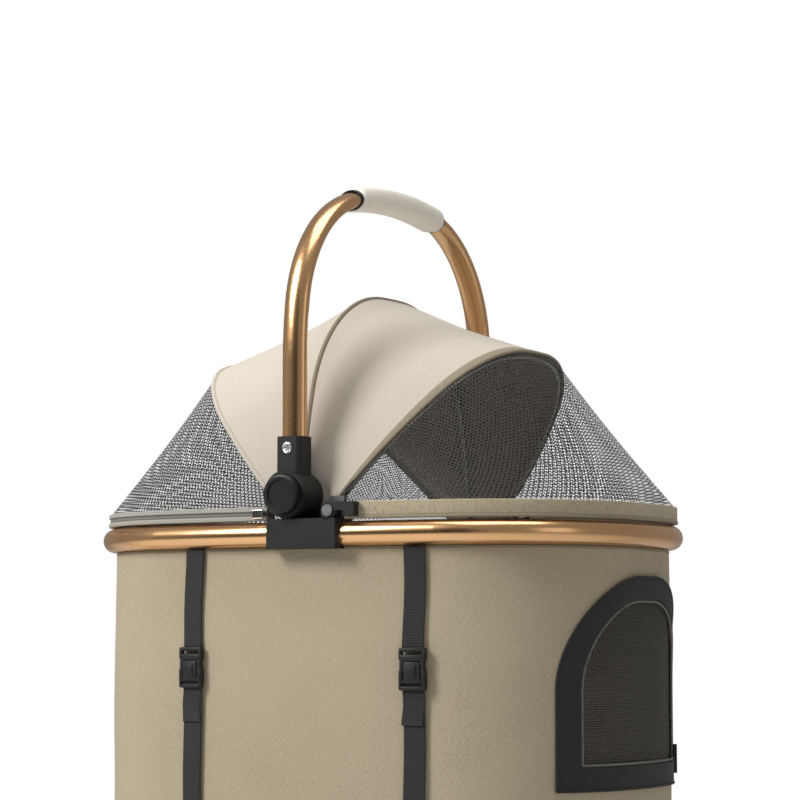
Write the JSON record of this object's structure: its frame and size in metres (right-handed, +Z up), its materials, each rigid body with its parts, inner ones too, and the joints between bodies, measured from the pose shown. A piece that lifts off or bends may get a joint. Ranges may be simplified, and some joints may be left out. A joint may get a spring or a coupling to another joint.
{
  "type": "pet stroller",
  "caption": "Folding four-wheel pet stroller with a lift-off fabric carrier, fan-fold canopy, mesh window, carry bail and push bar.",
  "frame": {"origin": "on the floor, under the middle of the stroller's overall box", "axes": "+X to the front (the mesh window's end), +Y to the stroller's left, +Z up"},
  "size_m": [0.984, 0.472, 1.0696],
  "materials": {
    "champagne_tube": "satin champagne-gold anodised tube",
    "basket_linen": "heathered tan linen weave",
    "canopy_linen": "pale cream linen weave",
    "black_mesh": "open black mesh",
    "black_webbing": "ribbed black webbing",
    "black_plastic": "fine-textured black moulding",
    "grey_tape": "grey zip tape",
    "cream_leather": "grained cream leather",
    "base_panel": "stiff board",
    "cushion_cloth": "quilted cream cotton",
    "bright_steel": "zinc-plated steel",
    "bright_zip": "polished zip slider",
    "tyre_rubber": "fine-grained tyre",
    "wheel_plastic": "moulded wheel",
    "store_cloth": "black woven polyester",
    "foam_grip": "soft foam grip"
  },
  "bodies": {
    "frame": {"main_tube_right": "champagne_tube", "main_tube_left": "champagne_tube", "cross_tubes": "champagne_tube", "dock_rails": "black_plastic", "caster_sockets": "black_plastic", "leg_hubs": "black_plastic", "push_hinges": "black_plastic", "push_hinge_pins": "bright_steel", "storage_basket": "store_cloth", "basket_clips": "black_plastic"},
    "carrier": {"rim_tube": "champagne_tube", "basket_fabric": "basket_linen", "base_board": "base_panel", "cushion": "cushion_cloth", "front_window_mesh": "black_mesh", "front_window_binding": "black_webbing", "window_zip_pull": "black_webbing", "side_straps": "black_webbing", "buckle_plugs": "black_plastic", "buckle_sockets": "black_plastic", "zip_tape": "grey_tape", "canopy_pivot_screws": "bright_steel", "hub_saddle_right": "black_plastic", "hub_saddle_left": "black_plastic", "canopy_bow_rear": "bright_steel", "canopy_bow_mid": "bright_steel", "canopy_rear_fabric": "canopy_linen", "canopy_rear_mesh": "black_mesh", "dock_feet": "black_plastic"},
    "zip_slider": {"zip_slider": "bright_zip"},
    "bail": {"bail_tube": "champagne_tube", "bail_grip": "cream_leather", "bail_grip_collars": "black_plastic", "bail_socket_right": "black_plastic", "bail_socket_left": "black_plastic", "bail_screws": "bright_steel"},
    "button_right": {"hub_button_right": "black_plastic"},
    "button_left": {"hub_button_left": "black_plastic"},
    "canopy_bow": {"canopy_bow_front": "bright_steel", "canopy_front_fabric": "canopy_linen", "canopy_front_mesh": "black_mesh"},
    "canopy_hem": {"hem_band": "basket_linen", "hem_arms": "black_plastic"},
    "push": {"push_bar": "champagne_tube", "push_grip": "foam_grip"},
    "legs": {"rear_legs": "champagne_tube", "rear_axle": "bright_steel"},
    "pedal": {"brake_pedal": "black_plastic"},
    "caster_right": {"caster_fork_right": "black_plastic", "front_axle_right": "bright_steel"},
    "front_roller_right": {"front_tyre_right": "tyre_rubber", "front_wheel_right": "wheel_plastic"},
    "rear_roller_right": {"rear_tyre_right": "tyre_rubber", "rear_wheel_right": "wheel_plastic"},
    "caster_left": {"caster_fork_left": "black_plastic", "front_axle_left": "bright_steel"},
    "front_roller_left": {"front_tyre_left": "tyre_rubber", "front_wheel_left": "wheel_plastic"},
    "rear_roller_left": {"rear_tyre_left": "tyre_rubber", "rear_wheel_left": "wheel_plastic"}
  },
  "joints": [
    {"name": "carrier_lift", "type": "slide", "parent": "frame", "child": "carrier", "axis": [0, 0, 1], "range_m": [0, 0.25]},
    {"name": "bail_swing", "type": "hinge", "parent": "carrier", "child": "bail", "pos_m": [0.219, 0, 0.775], "axis": [0, -1, 0], "range_deg": [-60, 60]},
    {"name": "button_right_press", "type": "slide", "parent": "bail", "child": "button_right", "axis": [0, 1, 0], "range_m": [0, 0.004], "stiffness_N_per_m": 800},
    {"name": "button_left_press", "type": "slide", "parent": "bail", "child": "button_left", "axis": [0, -1, 0], "range_m": [0, 0.004], "stiffness_N_per_m": 800},
    {"name": "canopy_front_fold", "type": "hinge", "parent": "carrier", "child": "canopy_bow", "pos_m": [0.262, 0, 0.76], "axis": [0, -1, 0], "range_deg": [0, 40], "deforming": ["canopy_front_fabric", "canopy_front_mesh"]},
    {"name": "canopy_hem_fold", "type": "hinge", "parent": "canopy_bow", "child": "canopy_hem", "pos_m": [0.262, 0, 0.76], "axis": [0, -1, 0], "range_deg": [0, 50]},
    {"name": "zip_slide", "type": "slide", "parent": "carrier", "child": "zip_slider", "axis": [-1, 0, 0], "range_m": [0, 0.06]},
    {"name": "push_bar_fold", "type": "hinge", "parent": "frame", "child": "push", "pos_m": [-0.408, 0, 0.61], "axis": [0, -1, 0], "range_deg": [0, 118]},
    {"name": "rear_leg_fold", "type": "hinge", "parent": "frame", "child": "legs", "pos_m": [0.154, 0, 0.42], "axis": [0, -1, 0], "range_deg": [0, 50]},
    {"name": "brake_press", "type": "hinge", "parent": "legs", "child": "pedal", "pos_m": [-0.116, 0, 0.09], "axis": [0, -1, 0], "range_deg": [0, 30]},
    {"name": "caster_swivel_right", "type": "hinge", "parent": "frame", "child": "caster_right", "pos_m": [0.449, -0.15, 0.1644], "axis": [0, 0, 1], "continuous": true},
    {"name": "front_wheel_spin_right", "type": "hinge", "parent": "caster_right", "child": "front_roller_right", "pos_m": [0.414, -0.15, 0.075], "axis": [0, 1, 0], "continuous": true},
    {"name": "rear_wheel_spin_right", "type": "hinge", "parent": "legs", "child": "rear_roller_right", "pos_m": [-0.116, -0.215, 0.09], "axis": [0, 1, 0], "continuous": true},
    {"name": "caster_swivel_left", "type": "hinge", "parent": "frame", "child": "caster_left", "pos_m": [0.449, 0.15, 0.1644], "axis": [0, 0, 1], "continuous": true},
    {"name": "front_wheel_spin_left", "type": "hinge", "parent": "caster_left", "child": "front_roller_left", "pos_m": [0.414, 0.15, 0.075], "axis": [0, 1, 0], "continuous": true},
    {"name": "rear_wheel_spin_left", "type": "hinge", "parent": "legs", "child": "rear_roller_left", "pos_m": [-0.116, 0.215, 0.09], "axis": [0, 1, 0], "continuous": true}
  ],
  "couplings": [
    {"joint": "canopy_hem_fold", "follows": "canopy_front_fold", "ratio": 1.25}
  ]
}
